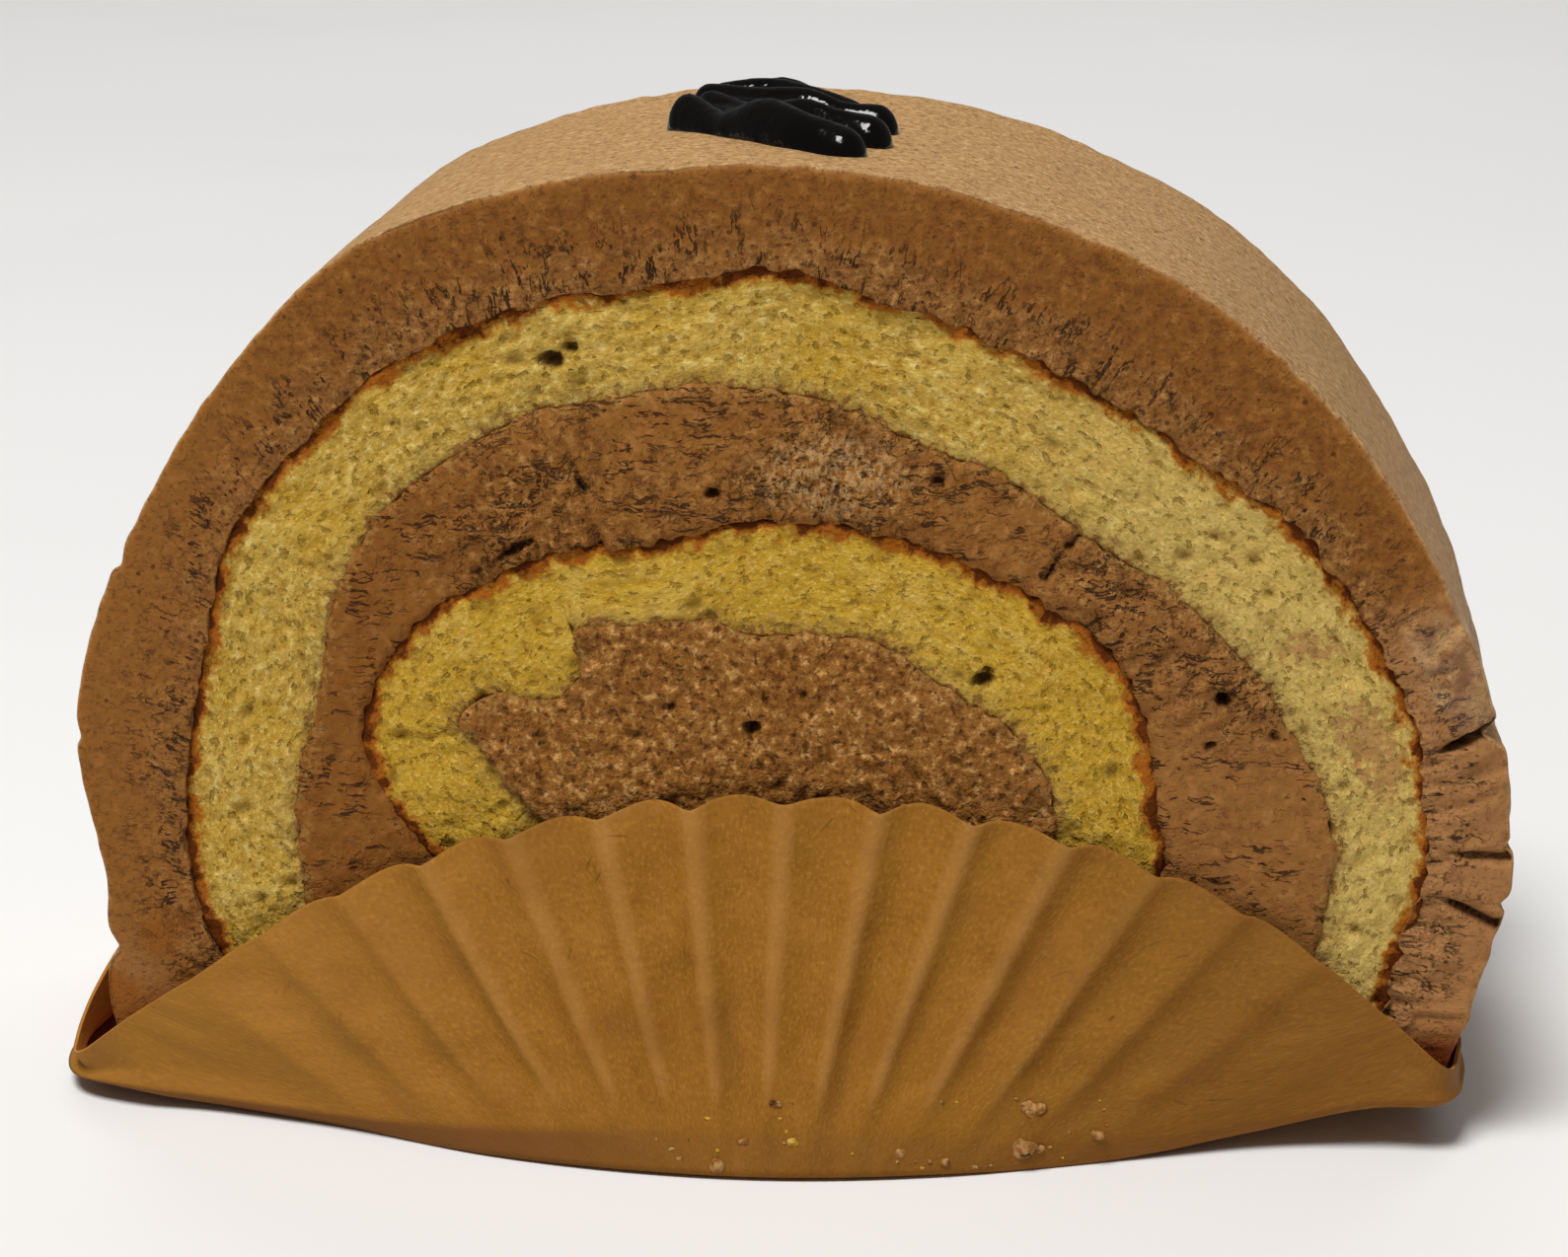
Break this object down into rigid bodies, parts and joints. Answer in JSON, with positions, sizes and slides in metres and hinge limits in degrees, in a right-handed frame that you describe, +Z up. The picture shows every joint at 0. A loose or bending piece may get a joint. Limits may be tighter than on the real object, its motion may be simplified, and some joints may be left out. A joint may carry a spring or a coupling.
{
  "type": "swiss roll cake slice",
  "caption": "Thick slice of swiss roll: yellow sponge rolled with chocolate cream, coated in cream, topped with piped chocolate, in a folded pleated paper case.",
  "frame": {"origin": "on the surface the paper case stands on, under the middle of the whole's box", "axes": "+Z up; the two cut faces look along -Y and +Y; X runs along the width of the cut face"},
  "size_m": [0.1028, 0.0576, 0.0712],
  "materials": {
    "coat_cream": "smooth chocolate cream with a satin top and a dragged, finely cracked cut face",
    "sponge": "open-pored yellow sponge with a thin browned line on its outer side",
    "filling_cream": "matt chocolate cream, cracked and fibrous where it was cut",
    "kraft_paper": "thin brown baking paper, pleated, slightly greasy",
    "dark_chocolate": "very dark glossy piped chocolate"
  },
  "bodies": {
    "root": {"cream_coat": "coat_cream", "sponge_roll": "sponge", "cream_filling": "filling_cream", "paper_case": "kraft_paper", "chocolate_topping": "dark_chocolate"}
  },
  "joints": []
}
